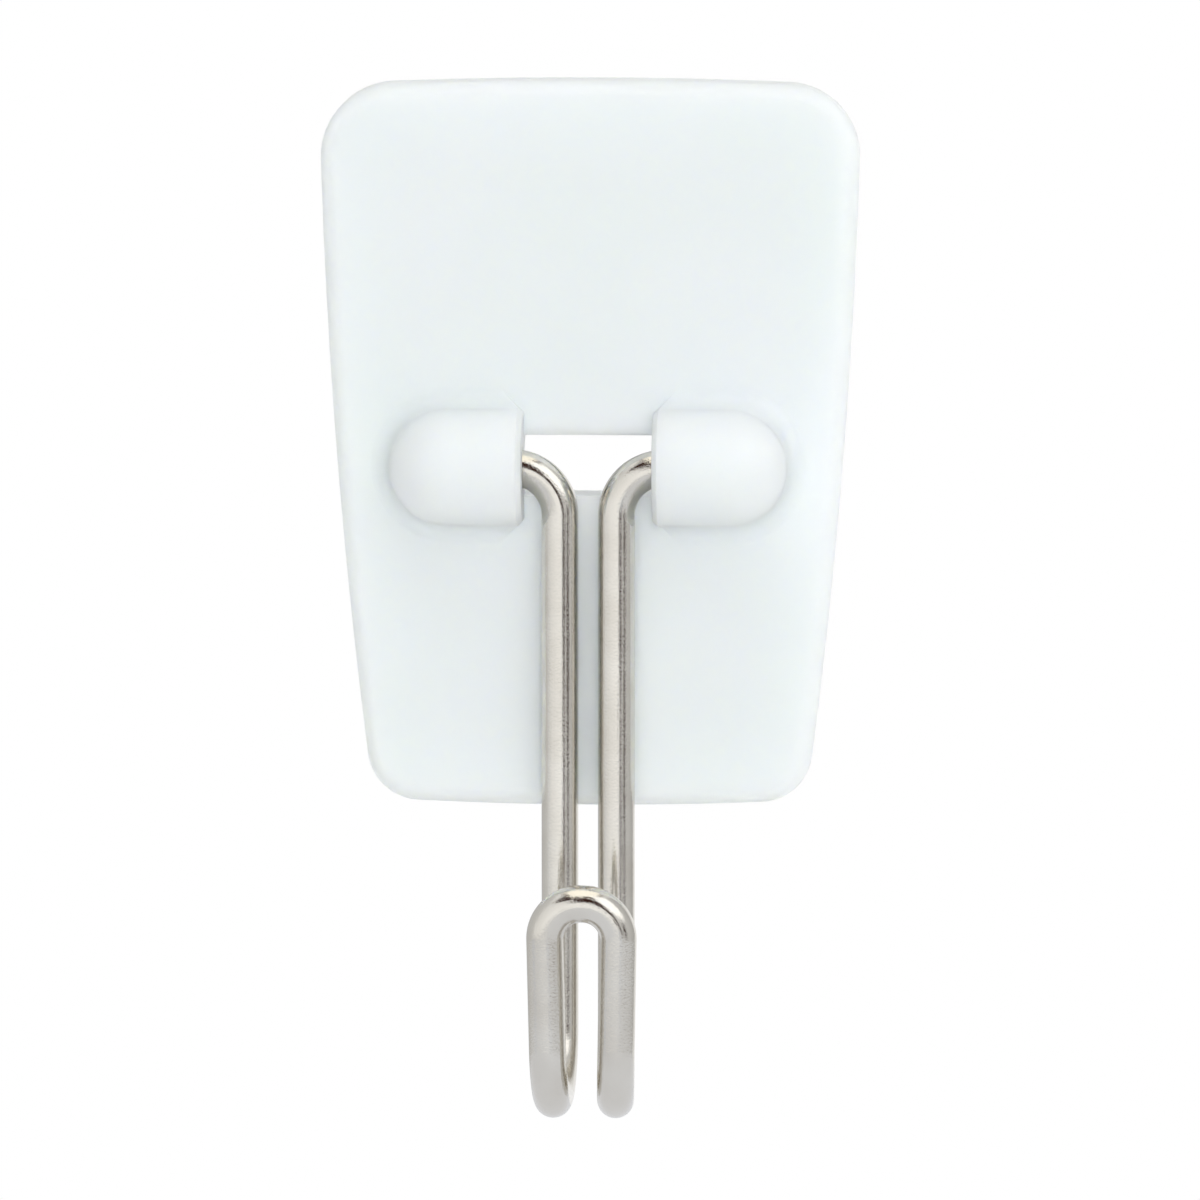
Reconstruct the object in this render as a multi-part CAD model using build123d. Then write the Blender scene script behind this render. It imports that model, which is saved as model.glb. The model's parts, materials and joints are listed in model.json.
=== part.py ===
from build123d import *

import os
from math import radians, sqrt, tan

# An adhesive wall hook: a moulded plate with two bosses, a bent wire hook that swings in them, and the foam
# pad that holds the plate to the wall. Millimetres, +Z up, the front faces -Y. The origin lies on the wall,
# straight behind the middle of the axis that the wire swings about.

# Plate: the widths are between the corners as they would be before rounding, the heights on the centre line
plate_height = 35.6
plate_below_axis = 16.8
plate_top_width = 26.4
plate_bottom_width = 21.25
plate_thickness = 2.6
top_bow = 0.35
side_bow = 0.5
bottom_bow = 0.3
top_corner_radius = 3.6
bottom_corner_radius = 2.6
face_edge_radius = 0.7
back_edge_chamfer = 0.2

# Bosses: bullets that lie along the swing axis, with flat inner faces either side of the window
boss_gap = 6.35
boss_length = 6.5
boss_radius = 2.85
boss_root_radius = 1.0
boss_mouth_chamfer = 0.25
nose_wall = 1.4
window_height = 3.0

# Sockets: a round bearing for the wire, behind it a throat that the wire snaps through, then a funnel
bearing_clearance = 0.05
throat_width = 1.5
lip_thickness = 0.5
funnel_depth = 1.0

# Wire hook: the spacings are between the two legs' centre lines
wire_diameter = 1.8
wire_end_chamfer = 0.2
wire_end_clearance = 0.3
leg_clearance = 0.2
leg_spacing = 2.76
shoulder_setback = 0.5
hook_drop = 31.4
hook_mouth = 4.7
front_height = 11.95
heel_spacing = 3.2
loop_spacing = 3.6
loop_flat = 0.1
tip_flare = 0.6

# Foam pad
pad_thickness = 1.0
pad_inset = 1.5
pad_corner_radius = 2.0
pad_window_margin = 0.6
pad_window_radius = 0.8

# Places and radii that follow from the sizes
wire_radius = wire_diameter / 2
bearing_radius = wire_radius + bearing_clearance
back_y = -pad_thickness
face_y = back_y - plate_thickness
axis_y = face_y - leg_clearance - wire_radius
inner_face_x = boss_gap / 2
socket_end_x = inner_face_x + boss_length - nose_wall
wire_end_x = socket_end_x - wire_end_clearance
shoulder_radius = inner_face_x + shoulder_setback - leg_spacing / 2
foot_z = bottom_bow - plate_below_axis
head_z = plate_height - plate_below_axis - top_bow


def plate_outline():
    """The plate seen from the front: four bowed edges that meet in rounded corners."""
    bottom_left = (-plate_bottom_width / 2, foot_z)
    bottom_right = (plate_bottom_width / 2, foot_z)
    top_right = (plate_top_width / 2, head_z)
    top_left = (-plate_top_width / 2, head_z)
    edges = [
        SagittaArc(bottom_left, bottom_right, -bottom_bow),
        SagittaArc(bottom_right, top_right, -side_bow),
        SagittaArc(top_right, top_left, -top_bow),
        SagittaArc(top_left, bottom_left, -side_bow),
    ]
    outline = make_face(edges)
    outline = fillet(outline.vertices().group_by(Axis.Y)[-1], top_corner_radius)
    return fillet(outline.vertices().group_by(Axis.Y)[0], bottom_corner_radius)


def plain_plate():
    """The plate without its bosses, soft along the front edge and just broken along the back one."""
    plate = extrude(Plane.XZ.offset(pad_thickness) * plate_outline(), plate_thickness)
    plate = fillet(plate.edges().group_by(Axis.Y)[0], face_edge_radius)
    return chamfer(plate.edges().group_by(Axis.Y)[-1], back_edge_chamfer)


def boss():
    """The right boss: straight walls from the plate out to the swing axis, then a bullet about that axis."""
    nose_x = inner_face_x + boss_length - boss_radius
    barrel = nose_x - inner_face_x
    flank = Pos(inner_face_x + barrel / 2, 0) * Rectangle(barrel, 2 * boss_radius)
    flank = chamfer(flank.vertices().group_by(Axis.X)[0], boss_mouth_chamfer)
    plan = flank + Pos(nose_x, 0) * Circle(boss_radius)
    root_depth = face_y - axis_y + plate_thickness / 2
    walls = extrude(Plane.XZ.offset(-axis_y) * plan, -root_depth)
    front_y = axis_y - boss_radius
    outline = Polyline(
        (nose_x + boss_radius, axis_y),
        (inner_face_x, axis_y),
        (inner_face_x, front_y + boss_mouth_chamfer),
        (inner_face_x + boss_mouth_chamfer, front_y),
        (nose_x, front_y),
    )
    nose = RadiusArc(outline @ 1, outline @ 0, -boss_radius)
    profile = make_face(outline.edges() + [nose])
    bullet = revolve(profile, Axis((0, axis_y, 0), (1, 0, 0)))
    return walls + bullet


def socket_cutter():
    """The space for the wire's ends, along both bosses and open to the back."""
    lip_y = axis_y + bearing_radius + lip_thickness
    upper_side = [
        (back_y, window_height / 2),
        (lip_y + funnel_depth, window_height / 2),
        (lip_y, throat_width / 2),
        (axis_y, throat_width / 2),
    ]
    lower_side = [(y, -z) for y, z in reversed(upper_side)]
    section = make_face(Polyline(*upper_side, *lower_side, close=True))
    section = section + Pos(axis_y, 0) * Circle(bearing_radius)
    return extrude(Plane.YZ * section, socket_end_x, both=True)


def bearing_mouth():
    """The flare at the right bearing's mouth, just wide enough for the start of the wire's bend."""
    bend_inside = shoulder_radius - wire_radius
    drift = bend_inside - sqrt(bend_inside**2 - shoulder_setback**2)
    flare = Cone(
        bearing_radius + drift,
        bearing_radius,
        shoulder_setback,
        align=(Align.CENTER, Align.CENTER, Align.MIN),
    )
    return Plane((inner_face_x, axis_y, 0), z_dir=(1, 0, 0)) * flare


def base_plate():
    """Plate and bosses in one moulding: blended round the bosses' outsides, with window and sockets cut through."""
    body = plain_plate() + boss() + mirror(boss(), Plane.YZ)
    on_face = body.edges().filter_by_position(Axis.Y, face_y, face_y)
    boss_reach = inner_face_x + boss_length
    roots = on_face.filter_by_position(Axis.Z, -boss_radius, boss_radius)
    roots = roots.filter_by_position(Axis.X, -boss_reach, boss_reach)
    roots = roots.filter_by(lambda edge: abs(edge.center().X) > inner_face_x + boss_mouth_chamfer)
    body = fillet(roots, boss_root_radius)
    window = extrude(Plane.XZ * Rectangle(boss_gap, window_height), -axis_y)
    mouth = bearing_mouth()
    return body - window - socket_cutter() - mouth - mirror(mouth, Plane.YZ)


def wire_path():
    """The wire's centre line from its left end to its right: straight runs joined by tangent bends."""
    mouth_depth = hook_mouth + wire_diameter
    heel_z = wire_radius - hook_drop
    tip_z = front_height - hook_drop - wire_radius
    front_y = axis_y - mouth_depth
    left_half = [
        Vector(-wire_end_x, axis_y, 0),
        Vector(-leg_spacing / 2, axis_y, 0),
        Vector(-leg_spacing / 2, axis_y, heel_z),
        Vector(-heel_spacing / 2, front_y, heel_z),
        Vector(-loop_spacing / 2, front_y - tip_flare, tip_z),
    ]
    right_half = [Vector(-point.X, point.Y, point.Z) for point in reversed(left_half)]
    hook_radius = mouth_depth / 2
    loop_turn = (left_half[-1] - left_half[-2]).get_angle(Vector(1, 0, 0))
    loop_radius = (loop_spacing - loop_flat) / 2 / tan(radians(loop_turn / 2))
    radii = [shoulder_radius, hook_radius, hook_radius, loop_radius]
    return FilletPolyline(*left_half, *right_half, radius=radii + radii[::-1])


def wire_hook():
    """A round wire bent along its path, with its cut ends broken."""
    path = wire_path()
    wire = sweep(Plane(path @ 0, z_dir=path % 0) * Circle(wire_radius), path)
    rims = wire.edges().filter_by(GeomType.CIRCLE).group_by(Axis.X)
    return chamfer(rims[0] + rims[-1], wire_end_chamfer)


def adhesive_pad():
    """The foam pad: a straight-sided die cut inside the plate, with a hole that leaves the window clear."""
    slope = (plate_top_width - plate_bottom_width) / 2 / (head_z - foot_z)
    bottom = Vector(plate_bottom_width / 2 + (slope - 1) * pad_inset, foot_z + pad_inset)
    top = Vector(plate_top_width / 2 - (slope + 1) * pad_inset, head_z - pad_inset)
    corners = [(-bottom.X, bottom.Y), (bottom.X, bottom.Y), (top.X, top.Y), (-top.X, top.Y)]
    outline = make_face(Polyline(*corners, close=True))
    outline = fillet(outline.vertices(), pad_corner_radius)
    cut_out = RectangleRounded(
        boss_gap + 2 * pad_window_margin,
        window_height + 2 * pad_window_margin,
        pad_window_radius,
    )
    return extrude(Plane.XZ * (outline - cut_out), pad_thickness)


os.makedirs("parts", exist_ok=True)
for piece in (base_plate, wire_hook, adhesive_pad):
    export_step(piece(), f"parts/{piece.__name__}.step")
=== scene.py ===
# %% [markdown]
# # An adhesive wall hook
# The real object is a small white moulded plate that sticks to a wall with a foam pad, and a bright wire
# hook that hangs from two bosses on its face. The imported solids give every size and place, so this lesson
# only adds what the eye wants: the wire's finish, the plastic's skin, the foam, and the light of a small
# photo studio.

# %% Load the solids
import json
from math import cos, pi, radians, sin, tan

import bmesh
import bpy
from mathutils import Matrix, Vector


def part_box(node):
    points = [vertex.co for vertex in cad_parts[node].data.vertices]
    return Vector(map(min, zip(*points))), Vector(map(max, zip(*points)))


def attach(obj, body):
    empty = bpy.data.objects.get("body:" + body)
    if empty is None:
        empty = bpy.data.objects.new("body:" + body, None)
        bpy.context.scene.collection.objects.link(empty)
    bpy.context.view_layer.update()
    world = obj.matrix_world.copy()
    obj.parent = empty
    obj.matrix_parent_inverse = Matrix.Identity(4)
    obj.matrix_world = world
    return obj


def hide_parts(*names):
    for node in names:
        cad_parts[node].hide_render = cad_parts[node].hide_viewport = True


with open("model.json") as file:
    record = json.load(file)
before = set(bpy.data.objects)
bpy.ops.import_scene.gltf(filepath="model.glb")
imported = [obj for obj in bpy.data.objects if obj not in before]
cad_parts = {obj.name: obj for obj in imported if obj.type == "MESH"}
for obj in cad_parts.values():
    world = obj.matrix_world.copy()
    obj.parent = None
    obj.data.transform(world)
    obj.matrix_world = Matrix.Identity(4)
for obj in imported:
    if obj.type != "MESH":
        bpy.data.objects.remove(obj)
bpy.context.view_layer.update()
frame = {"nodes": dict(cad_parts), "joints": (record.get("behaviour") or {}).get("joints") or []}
MM = 0.001

# %% [markdown]
# ## Four helpers
# Colours are easiest to pick as sRGB hex values, but shaders work in linear light, so one function converts
# them. Node trees are easiest to read when each node is one statement: its kind, its settings and what
# feeds it. Two more functions save the lines that every material and every new object would repeat.


# %% Helpers for colours, nodes and objects
def linear(hex_colour):
    """The linear RGBA of an sRGB hex colour such as '#ECF2F2'."""
    channels = [int(hex_colour[place : place + 2], 16) / 255 for place in (1, 3, 5)]
    return [c / 12.92 if c <= 0.04045 else ((c + 0.055) / 1.055) ** 2.4 for c in channels] + [1.0]


def empty_tree(owner):
    """The node tree of a new material or world, cleared for the nodes to come."""
    owner.use_nodes = True
    owner.node_tree.nodes.clear()
    return owner.node_tree


def add_node(tree, kind, inputs=None, **settings):
    """Adds a node. Each of its inputs takes a plain value, or the socket that is linked to it."""
    node = tree.nodes.new(kind)
    for name, value in settings.items():
        setattr(node, name, value)
    for key, value in (inputs or {}).items():
        if isinstance(value, bpy.types.NodeSocket):
            tree.links.new(value, node.inputs[key])
        else:
            node.inputs[key].default_value = value
    return node


def add_object(name, data):
    """A new object at the origin, linked into the scene."""
    added = bpy.data.objects.new(name, data)
    bpy.context.scene.collection.objects.link(added)
    return added


print("White paper in linear light:", [round(c, 3) for c in linear("#F4F4F2")])

# %% [markdown]
# ## Camera
# The photograph was taken from almost straight ahead, a little above and a touch to the right, through a
# long lens: the plate's sides hardly converge. So the camera stands 450 mm off, 7 degrees up and 2.6 degrees
# to the right, and the frame is as wide as the picture is at the plate's face, 58.5 mm. The middle of the
# picture lies 6.6 mm below the wire's swing axis.


# %% Place the camera
def towards(azimuth_deg, elevation_deg):
    """The direction from the hook to a place in the studio; azimuth 0 is in front, 90 to the right."""
    azimuth, elevation = radians(azimuth_deg), radians(elevation_deg)
    return Vector((sin(azimuth) * cos(elevation), -cos(azimuth) * cos(elevation), sin(elevation)))


CAMERA_AZIMUTH, CAMERA_ELEVATION, CAMERA_DISTANCE = 2.6, 7.0, 450 * MM
FRAME_WIDTH = 58.54 * MM
AIM_RIGHT, AIM_DOWN = 0.527 * MM, 6.556 * MM
PLATE_FACE = Vector((0.0, -3.6 * MM, 0.0))

back = towards(CAMERA_AZIMUTH, CAMERA_ELEVATION)
right = towards(CAMERA_AZIMUTH + 90, 0)
upward = back.cross(right)
looked_at = PLATE_FACE + AIM_RIGHT * right - AIM_DOWN * upward

camera = add_object("camera", bpy.data.cameras.new("camera"))
camera.data.lens = camera.data.sensor_width * CAMERA_DISTANCE / FRAME_WIDTH
camera.location = looked_at + CAMERA_DISTANCE * back
camera.rotation_euler = back.to_track_quat("Z", "Y").to_euler()
bpy.context.scene.camera = camera
print("Lens:", round(camera.data.lens, 1), "mm")

# %% [markdown]
# ## The wire's shape
# The hook is one length of 1.8 mm steel wire, bent on pins. A wire shop describes such a part by its corner
# points and the pin radius at each, and Geometry Nodes can work from just that: a polyline, a fillet whose
# radius is read from each corner, and a circle swept along the result. The nodes also keep, for every point
# of the skin, where it would be on the straight wire before bending, so that the drawing marks can follow
# the bends later.

# %% Corner points of the wire's left half
WIRE_RADIUS = 0.9 * MM
END_CHAMFER = 0.2 * MM
LEG_SPACING, HEEL_SPACING, LOOP_SPACING = 2.76 * MM, 3.2 * MM, 3.6 * MM
SHOULDER_PIN, HEEL_PIN = 2.295 * MM, 3.25 * MM
FRONT_HEIGHT = 11.95 * MM
TIP_FLARE = 0.6 * MM
LOOP_FLAT = 0.1 * MM

solid_low, solid_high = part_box("wire_hook")
swing_axis = Vector(frame["joints"][0]["pos_m"])
heel_z = solid_low.z + WIRE_RADIUS
tip_z = solid_low.z + FRONT_HEIGHT - WIRE_RADIUS
front_y = swing_axis.y - 2 * HEEL_PIN
cut_end = Vector((-solid_high.x, swing_axis.y, swing_axis.z))
shoulder = Vector((-LEG_SPACING / 2, swing_axis.y, swing_axis.z))
back_heel = Vector((-LEG_SPACING / 2, swing_axis.y, heel_z))
front_heel = Vector((-HEEL_SPACING / 2, front_y, heel_z))
tip = Vector((-LOOP_SPACING / 2, front_y - TIP_FLARE, tip_z))
loop_turn = (tip - front_heel).angle(Vector((1, 0, 0)))
loop_pin = (LOOP_SPACING - LOOP_FLAT) / 2 / tan(loop_turn / 2)
print("Loop pin radius in mm:", round(loop_pin / MM, 2))

# %% Mesh of all the corners
left_half = [  # place, pin radius, share of the full thickness
    (cut_end, 0.0, 1 - END_CHAMFER / WIRE_RADIUS),
    (cut_end + Vector((END_CHAMFER, 0, 0)), 0.0, 1.0),
    (shoulder, SHOULDER_PIN, 1.0),
    (back_heel, HEEL_PIN, 1.0),
    (front_heel, HEEL_PIN, 1.0),
    (tip, loop_pin, 1.0),
]
right_half = [
    (Vector((-place.x, place.y, place.z)), pin, share) for place, pin, share in reversed(left_half)
]
places, pins, shares = zip(*left_half, *right_half)
runs = [(k, k + 1) for k in range(len(places) - 1)]

corner_mesh = bpy.data.meshes.new("wire_corners")
corner_mesh.from_pydata(places, runs, [])
bend_radius = corner_mesh.attributes.new("bend_radius", "FLOAT", "POINT")
bend_radius.data.foreach_set("value", pins)
thickness = corner_mesh.attributes.new("thickness", "FLOAT", "POINT")
thickness.data.foreach_set("value", shares)
print("Corners:", len(places), "of which bent:", sum(pin > 0 for pin in pins))

# %% Node tree, first part: bend the line of corners
bender = bpy.data.node_groups.new("wire_bender", "GeometryNodeTree")
socket_ids = {}
for name, kind in (
    ("Corners", "NodeSocketGeometry"),
    ("Wire Radius", "NodeSocketFloat"),
    ("Bend Steps", "NodeSocketInt"),
    ("Round Steps", "NodeSocketInt"),
    ("Finish", "NodeSocketMaterial"),
):
    socket_ids[name] = bender.interface.new_socket(name, in_out="INPUT", socket_type=kind).identifier
bender.interface.new_socket("Wire", in_out="OUTPUT", socket_type="NodeSocketGeometry")

given = add_node(bender, "NodeGroupInput").outputs
pin_here = add_node(bender, "GeometryNodeInputNamedAttribute", {"Name": "bend_radius"}, data_type="FLOAT")
polyline = add_node(bender, "GeometryNodeMeshToCurve", {"Mesh": given["Corners"]})
bent = add_node(
    bender,
    "GeometryNodeFilletCurve",
    {
        "Curve": polyline.outputs["Curve"],
        "Radius": pin_here.outputs["Attribute"],
        "Count": given["Bend Steps"],
    },
    mode="POLY",
)
along = add_node(bender, "GeometryNodeSplineParameter")
keep_length = add_node(bender, "GeometryNodeCaptureAttribute", {"Geometry": bent.outputs["Curve"]})
keep_length.capture_items.new("FLOAT", "Length")
bender.links.new(along.outputs["Length"], keep_length.inputs["Length"])
print("Inputs of the wire bender:", list(socket_ids))

# %% Node tree, second part: sweep the round section along it
share_here = add_node(bender, "GeometryNodeInputNamedAttribute", {"Name": "thickness"}, data_type="FLOAT")
round_section = add_node(
    bender,
    "GeometryNodeCurvePrimitiveCircle",
    {"Resolution": given["Round Steps"], "Radius": given["Wire Radius"]},
)
spot = add_node(bender, "GeometryNodeInputPosition")
keep_spot = add_node(bender, "GeometryNodeCaptureAttribute", {"Geometry": round_section.outputs["Curve"]})
keep_spot.capture_items.new("VECTOR", "Spot")
bender.links.new(spot.outputs["Position"], keep_spot.inputs["Spot"])
skin = add_node(
    bender,
    "GeometryNodeCurveToMesh",
    {
        "Curve": keep_length.outputs["Geometry"],
        "Profile Curve": keep_spot.outputs["Geometry"],
        "Scale": share_here.outputs["Attribute"],
        "Fill Caps": True,
    },
)
length_only = add_node(bender, "ShaderNodeCombineXYZ", {"Z": keep_length.outputs["Length"]})
straight_spot = add_node(
    bender,
    "ShaderNodeVectorMath",
    {0: keep_spot.outputs["Spot"], 1: length_only.outputs["Vector"]},
    operation="ADD",
)
marked = add_node(
    bender,
    "GeometryNodeStoreNamedAttribute",
    {"Geometry": skin.outputs["Mesh"], "Name": "straight_wire", "Value": straight_spot.outputs["Vector"]},
    data_type="FLOAT_VECTOR",
    domain="POINT",
)
print("Wire bender so far:", len(bender.nodes), "nodes")

# %% Node tree, last part: smooth skin, crisp rims at the cut ends, finish
CRISP_ANGLE = radians(30)
edge_angle = add_node(bender, "GeometryNodeInputMeshEdgeAngle")
crisp = add_node(
    bender,
    "FunctionNodeCompare",
    {0: edge_angle.outputs["Unsigned Angle"], 1: CRISP_ANGLE},
    data_type="FLOAT",
    operation="GREATER_THAN",
)
smooth = add_node(
    bender,
    "GeometryNodeSetShadeSmooth",
    {"Geometry": marked.outputs["Geometry"], "Shade Smooth": True},
    domain="FACE",
)
edged = add_node(
    bender,
    "GeometryNodeSetShadeSmooth",
    {"Geometry": smooth.outputs["Geometry"], "Selection": crisp.outputs["Result"], "Shade Smooth": False},
    domain="EDGE",
)
whole = add_node(bender, "GeometryNodeRealizeInstances", {"Geometry": edged.outputs["Geometry"]})
finished = add_node(
    bender,
    "GeometryNodeSetMaterial",
    {"Geometry": whole.outputs["Geometry"], "Material": given["Finish"]},
)
add_node(bender, "NodeGroupOutput", {"Wire": finished.outputs["Geometry"]})
print("Wire bender:", len(bender.nodes), "nodes")

# %% [markdown]
# ## Bright nickel on drawn wire
# The wire is drawn through a die and then nickel plated. Nickel is a warm, slightly dull mirror: it gives
# back about three fifths of the light. The die leaves hair-fine lines along the wire, which the plating
# softens but doesn't fill, and the plating itself has small pits. The pattern is read on the straight wire,
# so the lines run round the bends as they do on the real one.

# %% Patterns on the wire
nickel = bpy.data.materials.new("nickel_plated_drawn_wire")
nickel_tree = empty_tree(nickel)
straight = add_node(nickel_tree, "ShaderNodeAttribute", attribute_name="straight_wire")

# A die line is some 0.02 mm wide and centimetres long. It is drawn wider and shorter here, so that it shows.
DIE_LINE_WIDTH, DIE_LINE_LENGTH = 0.09 * MM, 6.0 * MM
PIT_SIZE = 0.11 * MM
CLOUD_SIZE = 2.4 * MM
die_lines_space = add_node(
    nickel_tree,
    "ShaderNodeMapping",
    {
        "Vector": straight.outputs["Vector"],
        "Scale": (1 / DIE_LINE_WIDTH, 1 / DIE_LINE_WIDTH, 1 / DIE_LINE_LENGTH),
    },
)
die_lines = add_node(
    nickel_tree,
    "ShaderNodeTexNoise",
    {"Vector": die_lines_space.outputs["Vector"], "Scale": 1.0, "Detail": 2.0},
)
pits = add_node(
    nickel_tree,
    "ShaderNodeTexNoise",
    {"Vector": straight.outputs["Vector"], "Scale": 1 / PIT_SIZE, "Detail": 3.0, "Roughness": 0.6},
)
clouds = add_node(
    nickel_tree,
    "ShaderNodeTexNoise",
    {"Vector": straight.outputs["Vector"], "Scale": 1 / CLOUD_SIZE, "Detail": 2.0},
)
print("Wire patterns in mm:", [round(size / MM, 2) for size in (DIE_LINE_WIDTH, PIT_SIZE, CLOUD_SIZE)])

# %% Nickel shader
NOISE_LOW, NOISE_HIGH = 0.3, 0.7  # most of a noise texture's values lie between these
BRIGHT_ROUGHNESS, LINED_ROUGHNESS = 0.08, 0.16
WIRE_RELIEF = 0.02 * MM
tone = add_node(nickel_tree, "ShaderNodeValToRGB", {"Fac": clouds.outputs["Fac"]})
for stop, position, colour in zip(tone.color_ramp.elements, (0.35, 0.65), ("#D3CFC7", "#DAD7D0")):
    stop.position, stop.color = position, linear(colour)
dullness = add_node(
    nickel_tree,
    "ShaderNodeMapRange",
    {
        "Value": die_lines.outputs["Fac"],
        "From Min": NOISE_LOW,
        "From Max": NOISE_HIGH,
        "To Min": BRIGHT_ROUGHNESS,
        "To Max": LINED_ROUGHNESS,
    },
)
line_relief = add_node(
    nickel_tree,
    "ShaderNodeBump",
    {"Height": die_lines.outputs["Fac"], "Strength": 0.3, "Distance": WIRE_RELIEF},
)
pit_relief = add_node(
    nickel_tree,
    "ShaderNodeBump",
    {
        "Height": pits.outputs["Fac"],
        "Strength": 0.5,
        "Distance": WIRE_RELIEF,
        "Normal": line_relief.outputs["Normal"],
    },
)
metal = add_node(
    nickel_tree,
    "ShaderNodeBsdfPrincipled",
    {
        "Base Color": tone.outputs["Color"],
        "Metallic": 1.0,
        "Roughness": dullness.outputs["Result"],
        "Normal": pit_relief.outputs["Normal"],
    },
)
add_node(nickel_tree, "ShaderNodeOutputMaterial", {"Surface": metal.outputs["BSDF"]})
print("Nickel:", len(nickel_tree.nodes), "nodes")

# %% Bend the wire and give it its finish
BEND_STEPS, ROUND_STEPS = 40, 72
wire_maker = add_object("wire_maker", corner_mesh)
modifier = wire_maker.modifiers.new("wire_bender", "NODES")
modifier.node_group = bender
modifier[socket_ids["Wire Radius"]] = WIRE_RADIUS
modifier[socket_ids["Bend Steps"]] = BEND_STEPS
modifier[socket_ids["Round Steps"]] = ROUND_STEPS
modifier[socket_ids["Finish"]] = nickel
evaluated = wire_maker.evaluated_get(bpy.context.evaluated_depsgraph_get())
wire_mesh = bpy.data.meshes.new_from_object(evaluated)
wire_maker.modifiers.remove(modifier)
bpy.data.objects.remove(wire_maker)

wire = add_object("hook_wire_skin", wire_mesh)
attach(wire, "hook")
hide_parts("wire_hook")
skin_low = Vector(min(v.co[axis] for v in wire_mesh.vertices) for axis in range(3))
skin_high = Vector(max(v.co[axis] for v in wire_mesh.vertices) for axis in range(3))
gaps = (*(skin_low - solid_low), *(skin_high - solid_high))
print("Wire faces:", len(wire_mesh.polygons), "materials:", [m.name for m in wire_mesh.materials])
print("Off the solid's box by mm:", [round(gap / MM, 3) for gap in gaps])

# %% [markdown]
# ## Moulded plastic for the plate
# The plate and its bosses are one injection moulding in white ABS. Its solid already has the right bows,
# bosses and sockets, so it stays and only gets its skin: a satin one, from a mould that was blasted with
# fine grit. Up close it has a soft grain, and over centimetres it is a little uneven where the plastic
# shrank, which shows only as a slow change of gloss. Light wanders a couple of millimetres into the cloudy
# plastic, and that softens the shade around the bosses.

# %% Plastic material
# Blasting grit leaves marks of some 0.05 mm. They are drawn larger here, so that they show.
GRIT_SIZE, GRIT_DEPTH = 0.16 * MM, 0.01 * MM
SHRINKAGE_SIZE = 9.0 * MM
SATIN_LOW, SATIN_HIGH = 0.40, 0.47
ABS_IOR = 1.53
LIGHT_REACH = 2.0 * MM

plastic = bpy.data.materials.new("white_moulded_abs")
plastic_tree = empty_tree(plastic)
on_plate = add_node(plastic_tree, "ShaderNodeTexCoord")
grit = add_node(
    plastic_tree,
    "ShaderNodeTexNoise",
    {"Vector": on_plate.outputs["Object"], "Scale": 1 / GRIT_SIZE, "Detail": 2.0, "Roughness": 0.5},
)
shrinkage = add_node(
    plastic_tree,
    "ShaderNodeTexNoise",
    {"Vector": on_plate.outputs["Object"], "Scale": 1 / SHRINKAGE_SIZE, "Detail": 1.0},
)
white = add_node(plastic_tree, "ShaderNodeValToRGB", {"Fac": shrinkage.outputs["Fac"]})
for stop, position, colour in zip(white.color_ramp.elements, (NOISE_LOW, NOISE_HIGH), ("#EAF0F0", "#ECF1F3")):
    stop.position, stop.color = position, linear(colour)
satin = add_node(
    plastic_tree,
    "ShaderNodeMapRange",
    {
        "Value": shrinkage.outputs["Fac"],
        "From Min": NOISE_LOW,
        "From Max": NOISE_HIGH,
        "To Min": SATIN_LOW,
        "To Max": SATIN_HIGH,
    },
)
grain = add_node(
    plastic_tree,
    "ShaderNodeBump",
    {"Height": grit.outputs["Fac"], "Strength": 0.1, "Distance": GRIT_DEPTH},
)
moulding = add_node(
    plastic_tree,
    "ShaderNodeBsdfPrincipled",
    {
        "Base Color": white.outputs["Color"],
        "Roughness": satin.outputs["Result"],
        "IOR": ABS_IOR,
        "Normal": grain.outputs["Normal"],
        "Subsurface Weight": 1.0,
        "Subsurface Radius": (1.0, 1.0, 0.9),
        "Subsurface Scale": LIGHT_REACH,
    },
)
add_node(plastic_tree, "ShaderNodeOutputMaterial", {"Surface": moulding.outputs["BSDF"]})

plate = frame["nodes"]["base_plate"]
plate.data.materials.clear()
plate.data.materials.append(plastic)
print("Plastic:", len(plastic_tree.nodes), "nodes, on", len(plate.data.polygons), "triangles")

# %% [markdown]
# ## The foam pad
# Behind the plate sits the pad that holds it to the wall: a millimetre of closed-cell foam with adhesive on
# both faces, die cut a little smaller than the plate, with a hole that leaves the plate's window clear.
# Squeezed against a wall, its cut edge bellies out. A mesh of stacked loops does that well: each loop is the
# cut line, moved outwards as far as the foam bellies at that depth.


# %% Cut lines of the pad
def cut_line(corner_points, radius, steps):
    """Points and outward directions along a convex polygon with rounded corners, counter-clockwise."""
    points, directions = [], []
    for before, corner, after in zip(
        corner_points[-1:] + corner_points[:-1], corner_points, corner_points[1:] + corner_points[:1]
    ):
        in_run, out_run = (corner - before).normalized(), (after - corner).normalized()
        in_side, out_side = Vector((in_run.y, -in_run.x)), Vector((out_run.y, -out_run.x))
        centre = corner - (in_side + out_side) * radius / (1 + in_side.dot(out_side))
        for step in range(steps + 1):
            direction = in_side.slerp(out_side, step / steps)
            points.append(centre + radius * direction)
            directions.append(direction)
    return points, directions


def mirrored_corners(bottom_width, bottom, top_width, top):
    """The corners of a shape with level ends and matching sides, counter-clockwise from the lower left."""
    low_x, high_x = bottom_width / 2, top_width / 2
    return [Vector(p) for p in ((-low_x, bottom), (low_x, bottom), (high_x, top), (-high_x, top))]


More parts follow.
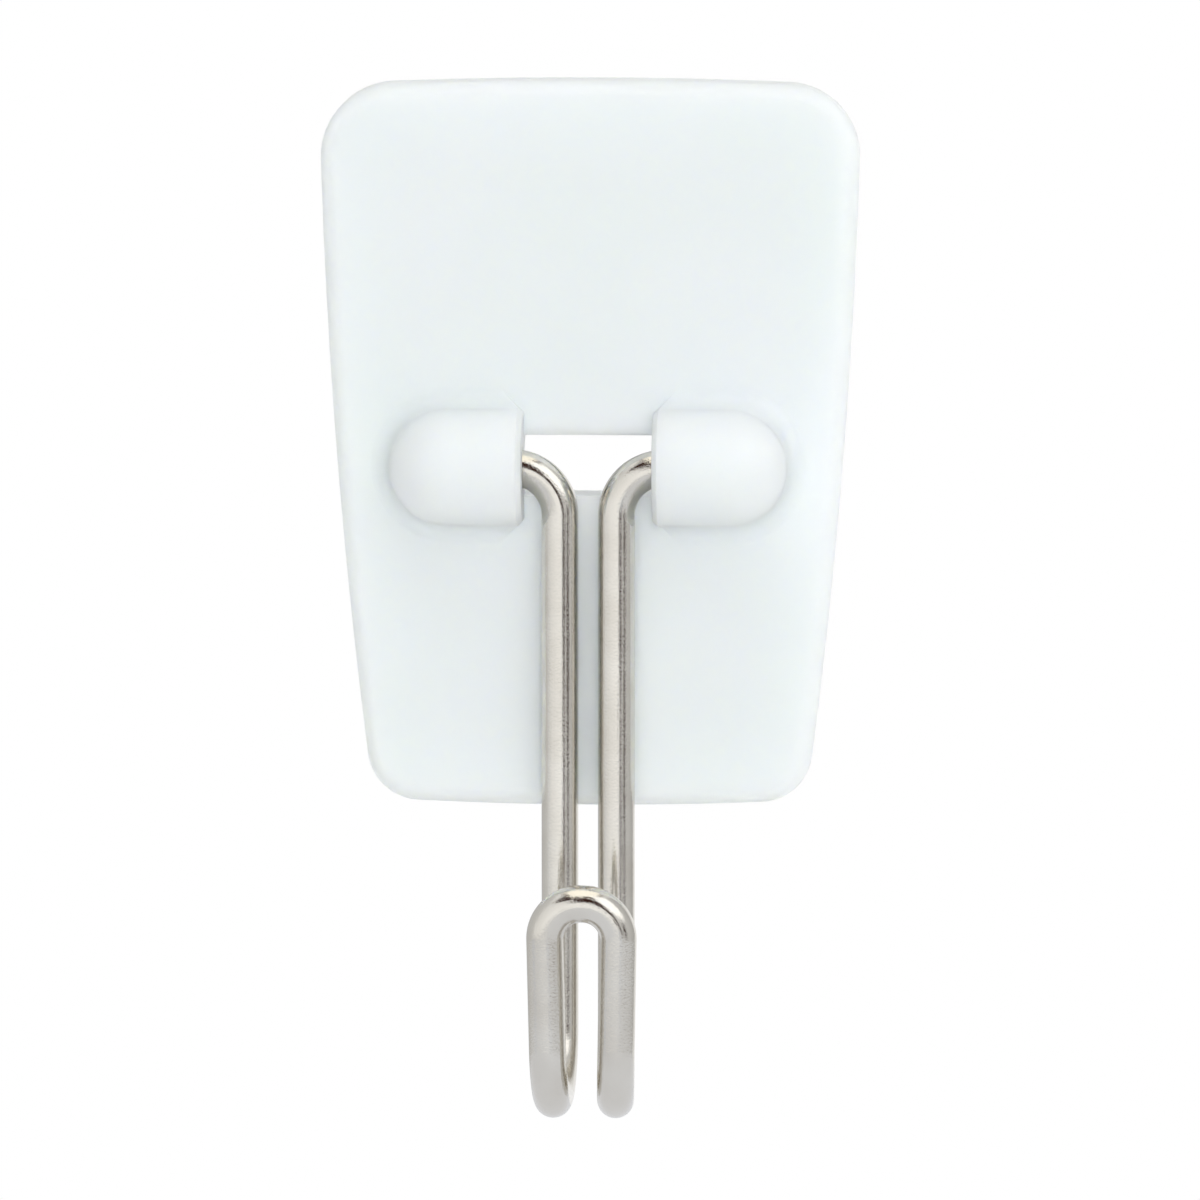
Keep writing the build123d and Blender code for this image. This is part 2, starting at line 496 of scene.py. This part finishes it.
PAD_BOTTOM_WIDTH, PAD_TOP_WIDTH = 18.692 * MM, 22.958 * MM  # between the corners before rounding
PAD_CORNER, PAD_CORNER_STEPS = 2.0 * MM, 10
HOLE_WIDTH, HOLE_HEIGHT = 7.55 * MM, 4.2 * MM
HOLE_CORNER, HOLE_CORNER_STEPS = 0.8 * MM, 8
foam_low, foam_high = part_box("adhesive_pad")
outer_corners = mirrored_corners(PAD_BOTTOM_WIDTH, foam_low.z, PAD_TOP_WIDTH, foam_high.z)
hole_corners = mirrored_corners(HOLE_WIDTH, -HOLE_HEIGHT / 2, HOLE_WIDTH, HOLE_HEIGHT / 2)
outer_cut = cut_line(outer_corners, PAD_CORNER, PAD_CORNER_STEPS)
hole_cut = cut_line(hole_corners, HOLE_CORNER, HOLE_CORNER_STEPS)
print("Points on the cut lines:", len(outer_cut[0]), len(hole_cut[0]))

# %% Build the pad
PAD_THICKNESS = foam_high.y - foam_low.y
BELLY = 0.09 * MM
EDGE_ROUND = 0.12 * MM
LEVELS = [0.0, 0.03, 0.09, 0.2, 0.35, 0.5, 0.65, 0.8, 0.91, 0.97, 1.0]  # shares of the depth
FACE_TILT = 0.95  # a face that looks this much to the wall or the plate is flat

pad_shape = bmesh.new()
wall_rims, plate_rims = [], []
for (points, directions), outwards in ((outer_cut, 1), (hole_cut, -1)):
    loops = []
    for level in LEVELS:
        swell = BELLY * (1 - (2 * level - 1) ** 2)
        near_face = min(level, 1 - level) * PAD_THICKNESS
        drawn_in = EDGE_ROUND * max(0.0, 1 - near_face / EDGE_ROUND) ** 2
        offset = outwards * (swell - drawn_in)
        spots = [p + offset * d for p, d in zip(points, directions)]
        loops.append([pad_shape.verts.new((s.x, -level * PAD_THICKNESS, s.y)) for s in spots])
    count = len(points)
    for lower, upper in zip(loops, loops[1:]):
        for k in range(count):
            ring = (lower[k], upper[k], upper[(k + 1) % count], lower[(k + 1) % count])
            pad_shape.faces.new(ring)
    for rims, loop in ((wall_rims, loops[0]), (plate_rims, loops[-1])):
        for k in range(count):
            rims.append(pad_shape.edges.get((loop[k], loop[(k + 1) % count])))
for rims in (wall_rims, plate_rims):
    bmesh.ops.triangle_fill(pad_shape, use_beauty=True, edges=rims)
bmesh.ops.recalc_face_normals(pad_shape, faces=pad_shape.faces)
for face in pad_shape.faces:
    face.smooth = abs(face.normal.y) < FACE_TILT
pad_mesh = bpy.data.meshes.new("foam_pad")
pad_shape.to_mesh(pad_mesh)
pad_shape.free()
print("Pad faces:", len(pad_mesh.polygons))

# %% [markdown]
# ## Foam and adhesive
# From the side the pad is white foam with small closed cells that the die cut open. On the wall side lies a
# film of adhesive a tenth of a millimetre thick, a shade more yellow and wet-looking; the one on the plate's
# side is hidden. The film lies at a fixed depth, so the material finds it from the pad's own Y coordinate,
# and no extra geometry is needed.

# %% Layers and patterns of the foam
FILM_THICKNESS, FILM_BLUR = 0.10 * MM, 0.02 * MM
CELL_SIZE, CELL_DEPTH = 0.22 * MM, 0.06 * MM
RIPPLE_SIZE = 5.0 * MM

foam = bpy.data.materials.new("closed_cell_foam_tape")
foam_tree = empty_tree(foam)
on_pad = add_node(foam_tree, "ShaderNodeTexCoord")
depth = add_node(foam_tree, "ShaderNodeSeparateXYZ", {"Vector": on_pad.outputs["Object"]})
film = add_node(
    foam_tree,
    "ShaderNodeMapRange",
    {
        "Value": depth.outputs["Y"],
        "From Min": -FILM_THICKNESS - FILM_BLUR,
        "From Max": -FILM_THICKNESS + FILM_BLUR,
    },
)
cells = add_node(
    foam_tree,
    "ShaderNodeTexVoronoi",
    {"Vector": on_pad.outputs["Object"], "Scale": 1 / CELL_SIZE},
    feature="DISTANCE_TO_EDGE",
)
ripples = add_node(
    foam_tree,
    "ShaderNodeTexNoise",
    {"Vector": on_pad.outputs["Object"], "Scale": 1 / RIPPLE_SIZE, "Detail": 2.0},
)
print("Foam cells in mm:", round(CELL_SIZE / MM, 2), "film:", round(FILM_THICKNESS / MM, 2))

# %% Foam shader
FOAM_ROUGHNESS, FILM_ROUGHNESS = 0.85, 0.32
# White foam, painted darker towards the middle of each cut-open cell: painted shade in the cell hollows
foam_and_cell_shade = add_node(foam_tree, "ShaderNodeValToRGB", {"Fac": cells.outputs["Distance"]})
for stop, position, colour in zip(foam_and_cell_shade.color_ramp.elements, (0.02, 0.35), ("#F1EFE9", "#D6D2C6")):
    stop.position, stop.color = position, linear(colour)
film_tone = add_node(foam_tree, "ShaderNodeValToRGB", {"Fac": ripples.outputs["Fac"]})
for stop, position, colour in zip(film_tone.color_ramp.elements, (0.35, 0.7), ("#F0EBDC", "#F3EFE3")):
    stop.position, stop.color = position, linear(colour)
layers = add_node(
    foam_tree,
    "ShaderNodeMix",
    {"Factor": film.outputs["Result"], "A": foam_and_cell_shade.outputs["Color"], "B": film_tone.outputs["Color"]},
    data_type="RGBA",
)
wetness = add_node(
    foam_tree,
    "ShaderNodeMapRange",
    {"Value": film.outputs["Result"], "To Min": FOAM_ROUGHNESS, "To Max": FILM_ROUGHNESS},
)
cell_relief = add_node(
    foam_tree,
    "ShaderNodeBump",
    {"Height": cells.outputs["Distance"], "Strength": 0.4, "Distance": CELL_DEPTH},
    invert=True,
)
backing = add_node(
    foam_tree,
    "ShaderNodeBsdfPrincipled",
    {
        "Base Color": layers.outputs["Result"],
        "Roughness": wetness.outputs["Result"],
        "Normal": cell_relief.outputs["Normal"],
    },
)
add_node(foam_tree, "ShaderNodeOutputMaterial", {"Surface": backing.outputs["BSDF"]})

pad = add_object("foam_pad", pad_mesh)
pad_mesh.materials.append(foam)
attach(pad, "plate")
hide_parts("adhesive_pad")
print("Foam:", len(foam_tree.nodes), "nodes")

# %% [markdown]
# ## Floor and surround
# The photograph is a cut-out on white, so the floor is a disc of white paper that fades to white towards its
# rim, and the surround is white wherever it is looked at, mirrored or seen through something. As a lamp the
# surround is dim, because the lamps below do the lighting. In the wire, the paper looks nearly even, as a
# wide sheet under soft light does.

# %% Floor disc
FLOOR_RADIUS, FLOOR_HEIGHT = 0.5, -0.15
FLOOR_SEGMENTS = 96
disc = bmesh.new()
bmesh.ops.create_circle(disc, cap_ends=True, segments=FLOOR_SEGMENTS, radius=FLOOR_RADIUS)
bmesh.ops.translate(disc, vec=(0.0, 0.0, FLOOR_HEIGHT), verts=disc.verts)
floor_mesh = bpy.data.meshes.new("floor")
disc.to_mesh(floor_mesh)
disc.free()
floor = add_object("floor", floor_mesh)
print("Floor at", FLOOR_HEIGHT, "m, of radius", FLOOR_RADIUS, "m")

# %% Paper for the floor
FADE_START, FADE_END = 0.2 * FLOOR_RADIUS, 0.96 * FLOOR_RADIUS
EVEN_SHARE, EVEN_GLOW = 0.85, 0.89
paper = bpy.data.materials.new("white_paper_floor")
paper_tree = empty_tree(paper)
floor_rays = add_node(paper_tree, "ShaderNodeLightPath")
looked_at_or_through = add_node(
    paper_tree,
    "ShaderNodeMath",
    {0: floor_rays.outputs["Is Camera Ray"], 1: floor_rays.outputs["Is Transmission Ray"]},
    operation="MAXIMUM",
)
on_floor = add_node(paper_tree, "ShaderNodeTexCoord")
from_middle = add_node(
    paper_tree,
    "ShaderNodeVectorMath",
    {0: on_floor.outputs["Object"], 1: (0.0, 0.0, FLOOR_HEIGHT)},
    operation="DISTANCE",
)
rim_fade = add_node(
    paper_tree,
    "ShaderNodeMapRange",
    {"Value": from_middle.outputs["Value"], "From Min": FADE_START, "From Max": FADE_END},
    interpolation_type="SMOOTHSTEP",
)
seen_fade = add_node(
    paper_tree,
    "ShaderNodeMath",
    {0: rim_fade.outputs["Result"], 1: looked_at_or_through.outputs["Value"]},
    operation="MULTIPLY",
)
lit_paper = add_node(paper_tree, "ShaderNodeBsdfDiffuse", {"Color": linear("#F2F2F0")})
white_rim = add_node(paper_tree, "ShaderNodeEmission", {"Color": linear("#FFFFFF"), "Strength": 1.0})
faded_paper = add_node(
    paper_tree,
    "ShaderNodeMixShader",
    {0: seen_fade.outputs["Value"], 1: lit_paper.outputs["BSDF"], 2: white_rim.outputs["Emission"]},
)
mirrored = add_node(
    paper_tree,
    "ShaderNodeMath",
    {0: floor_rays.outputs["Is Glossy Ray"], 1: EVEN_SHARE},
    operation="MULTIPLY",
)
even_paper = add_node(paper_tree, "ShaderNodeEmission", {"Color": linear("#F7F9FF"), "Strength": EVEN_GLOW})
paper_look = add_node(
    paper_tree,
    "ShaderNodeMixShader",
    {0: mirrored.outputs["Value"], 1: faded_paper.outputs["Shader"], 2: even_paper.outputs["Emission"]},
)
add_node(paper_tree, "ShaderNodeOutputMaterial", {"Surface": paper_look.outputs["Shader"]})
floor_mesh.materials.append(paper)
print("Paper fades from", round(FADE_START, 2), "m to", round(FADE_END, 2), "m off the middle")

# %% White surround
FILL_STRENGTH = 0.12
world = bpy.data.worlds.new("white_studio")
bpy.context.scene.world = world
world_tree = empty_tree(world)
world_rays = add_node(world_tree, "ShaderNodeLightPath")
seen_or_mirrored = add_node(
    world_tree,
    "ShaderNodeMath",
    {0: world_rays.outputs["Is Camera Ray"], 1: world_rays.outputs["Is Glossy Ray"]},
    operation="MAXIMUM",
)
seen_at_all = add_node(
    world_tree,
    "ShaderNodeMath",
    {0: seen_or_mirrored.outputs["Value"], 1: world_rays.outputs["Is Transmission Ray"]},
    operation="MAXIMUM",
)
fill_light = add_node(
    world_tree,
    "ShaderNodeBackground",
    {"Color": linear("#FBFCFF"), "Strength": FILL_STRENGTH},
)
white_wall = add_node(world_tree, "ShaderNodeBackground", {"Color": linear("#FFFFFF"), "Strength": 1.0})
surround = add_node(
    world_tree,
    "ShaderNodeMixShader",
    {
        0: seen_at_all.outputs["Value"],
        1: fill_light.outputs["Background"],
        2: white_wall.outputs["Background"],
    },
)
add_node(world_tree, "ShaderNodeOutputWorld", {"Surface": surround.outputs["Shader"]})
print("Surround:", len(world_tree.nodes), "nodes, fill strength", FILL_STRENGTH)

# %% [markdown]
# ## Lamps and mirror cards
# The wire still shows the studio that the photograph was taken in: a white softbox high on the right, a cream
# scrim overhead, pale walls, a table in front, and dark stands between them. Bright metal is only as good as
# what it mirrors, so the studio here has two halves. The lamps light the plastic and the foam and stay out
# of reflections. They give a white surface that faces the camera about the colour that it is written with.
# The cards stand where those things stood and show only in reflections. So the shade on the plate and the
# marks on the wire can each be matched to the photograph without upsetting the other.

# %% Lamps
LAMP_RANGE = 0.7


def softbox(name, azimuth_deg, elevation_deg, width, height, radiance):
    """A white rectangular lamp that faces the hook and doesn't show in reflections."""
    lamp = bpy.data.lights.new(name, "AREA")
    lamp.shape = "RECTANGLE"
    lamp.size, lamp.size_y = width, height
    lamp.energy = radiance * pi * width * height
    lamp_object = add_object(name, lamp)
    direction = towards(azimuth_deg, elevation_deg)
    lamp_object.location = direction * LAMP_RANGE
    lamp_object.rotation_euler = direction.to_track_quat("Z", "Y").to_euler()
    lamp_object.visible_glossy = False
    print(name, "power:", round(lamp.energy, 2), "W")


softbox("key_softbox", 44, 33, 0.36, 0.62, 1.5)
softbox("front_fill", 3.5, 7.5, 0.12, 0.12, 51.5)  # small and by the camera, to reach between the legs
softbox("overhead_fill", 0, 75, 0.6, 0.6, 1.7)
softbox("left_fill", -115, -5, 0.4, 0.6, 4.0)
softbox("right_fill", 120, -5, 0.4, 0.6, 4.3)
softbox("back_fill", 180, 40, 0.5, 0.5, 1.5)  # high, to light the window's sill from behind

# %% A card that only reflections see
card_glow = bpy.data.materials.new("studio_card")
card_tree = empty_tree(card_glow)
painted = add_node(card_tree, "ShaderNodeAttribute", attribute_name="glow")
shine = add_node(card_tree, "ShaderNodeEmission", {"Color": painted.outputs["Color"], "Strength": 1.0})
add_node(card_tree, "ShaderNodeOutputMaterial", {"Surface": shine.outputs["Emission"]})


def mirror_card(name, range_m, colour, card_corners):
    """A card that shows only in reflections; each corner has an azimuth, an elevation and a brightness."""
    mesh = bpy.data.meshes.new(name)
    mesh.from_pydata([towards(a, e) * range_m for a, e, _ in card_corners], [], [(0, 1, 2, 3)])
    mesh.materials.append(card_glow)
    glow = mesh.color_attributes.new("glow", "FLOAT_COLOR", "POINT")
    for corner_glow, (_, _, brightness) in zip(glow.data, card_corners):
        corner_glow.color = [brightness * c for c in linear(colour)]
    card = add_object(name, mesh)
    card.visible_camera = False
    card.visible_diffuse = False
    card.visible_shadow = False
    card.visible_transmission = False


print("Card material:", len(card_tree.nodes), "nodes")

# %% Cards for the wire to mirror
CREAM, BROWN, WHITE, COOL = "#FFFBEF", "#35170C", "#FFFFFF", "#E2EBFF"
WALL = 2.0  # how far off the walls and the table are, in metres

mirror_card("key_face", 0.70, WHITE, [(19, 56, 1.6), (80, 56, 1.6), (75, 14, 1.6), (25, 14, 1.6)])
mirror_card(
    "overhead_scrim", 0.80, CREAM, [(-20, 48, 1.45), (20, 48, 1.45), (150, 42, 1.45), (-150, 42, 1.45)]
)
mirror_card("scrim_frame", 1.00, BROWN, [(-25, 42, 1), (25, 42, 1), (156, 36, 1), (-156, 36, 1)])
mirror_card("boom", 0.82, BROWN, [(-12, 28, 1), (-12, 46, 1), (-54, 56, 1), (-54, 40, 1)])
mirror_card("camera_stand", 0.78, BROWN, [(-10, 46, 1), (16, 46, 1), (18, 12, 1), (-10, 16, 1)])
mirror_card("stand_leg", 0.78, BROWN, [(14, 46, 1), (35, -11, 1), (23, -11, 1), (8, 14, 1)])
mirror_card("front_wall", WALL, WHITE, [(-80, 45, 0.78), (27, 45, 0.95), (27, -6, 1.4), (-80, -6, 0.9)])
mirror_card("wall_foot", WALL, WHITE, [(-80, -6, 0.9), (27, -6, 1.4), (27, -11, 0.72), (-80, -11, 0.72)])
mirror_card("table", WALL, COOL, [(-80, -11, 0.72), (27, -11, 0.72), (27, -22, 0.72), (-80, -22, 0.70)])
mirror_card(
    "left_wall", WALL, WHITE, [(-80, 45, 0.78), (-170, 45, 0.66), (-170, -22, 0.5), (-80, -22, 0.74)]
)
mirror_card(
    "right_wall", WALL, WHITE, [(27, 45, 0.95), (130, 45, 0.56), (130, -22, 0.42), (27, -22, 0.76)]
)
mirror_card("right_stand", 0.84, BROWN, [(46, 4, 1), (60, 4, 1), (60, -11, 1), (46, -11, 1)])
print("Cards in place:", card_glow.users)

# %% [markdown]
# ## Display settings
# The scene uses plain display settings, so that colours come out as they were written. The dressed wire has
# to fill the same box as its solid, and the two boxes are compared where the wire is made.

# %% Display settings
bpy.context.scene.view_settings.view_transform = "Standard"
